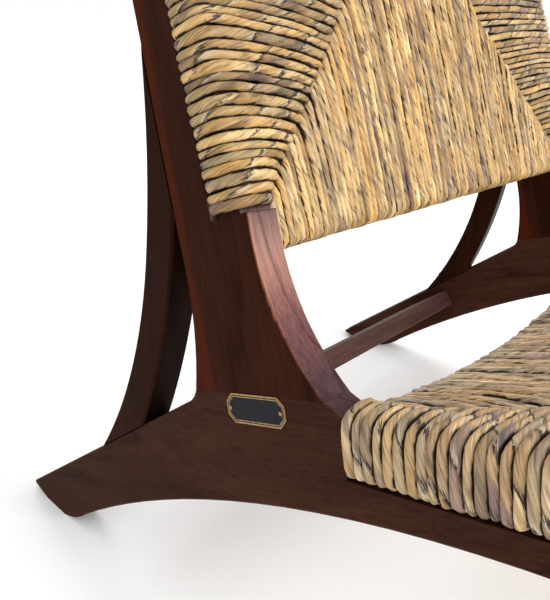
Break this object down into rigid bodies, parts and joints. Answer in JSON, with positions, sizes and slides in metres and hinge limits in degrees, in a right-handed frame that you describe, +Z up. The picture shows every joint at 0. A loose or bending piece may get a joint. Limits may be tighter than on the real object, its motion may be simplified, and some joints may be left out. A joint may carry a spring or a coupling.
{
  "type": "lounge chair",
  "caption": "Low armless lounge chair: splayed plank side frames with bowed rear struts, a sloping woven rush seat and a raked woven rush back.",
  "frame": {"origin": "on the floor, under the middle of the chair's bounding box", "axes": "+Z up, the chair faces -Y, +X towards the sitter's left"},
  "size_m": [0.7458, 0.7907, 0.7216],
  "materials": {
    "mahogany": "satin lacquer",
    "inner_wood": "matte",
    "rush": "semi-gloss twisted rush",
    "plate": "dark enamel with a brass border",
    "pin": "satin"
  },
  "bodies": {
    "root": {"base_board_left": "mahogany", "base_board_right": "mahogany", "post_left": "mahogany", "post_right": "mahogany", "brace_left": "mahogany", "brace_right": "mahogany", "front_leg_left": "mahogany", "front_leg_right": "mahogany", "seat_rear_rail": "mahogany", "seat_front_rail": "mahogany", "back_low_rail": "mahogany", "back_top_rail": "mahogany", "rear_stretcher": "mahogany", "post_dowels": "inner_wood", "brace_foot_dowels": "inner_wood", "brace_top_dowels": "inner_wood", "front_leg_dowels": "inner_wood", "stretcher_dowels": "inner_wood", "seat_rail_dowels": "inner_wood", "back_rail_dowels": "inner_wood", "label_plate": "plate", "label_pins": "pin", "seat_rush": "rush", "back_rush": "rush"}
  },
  "joints": []
}
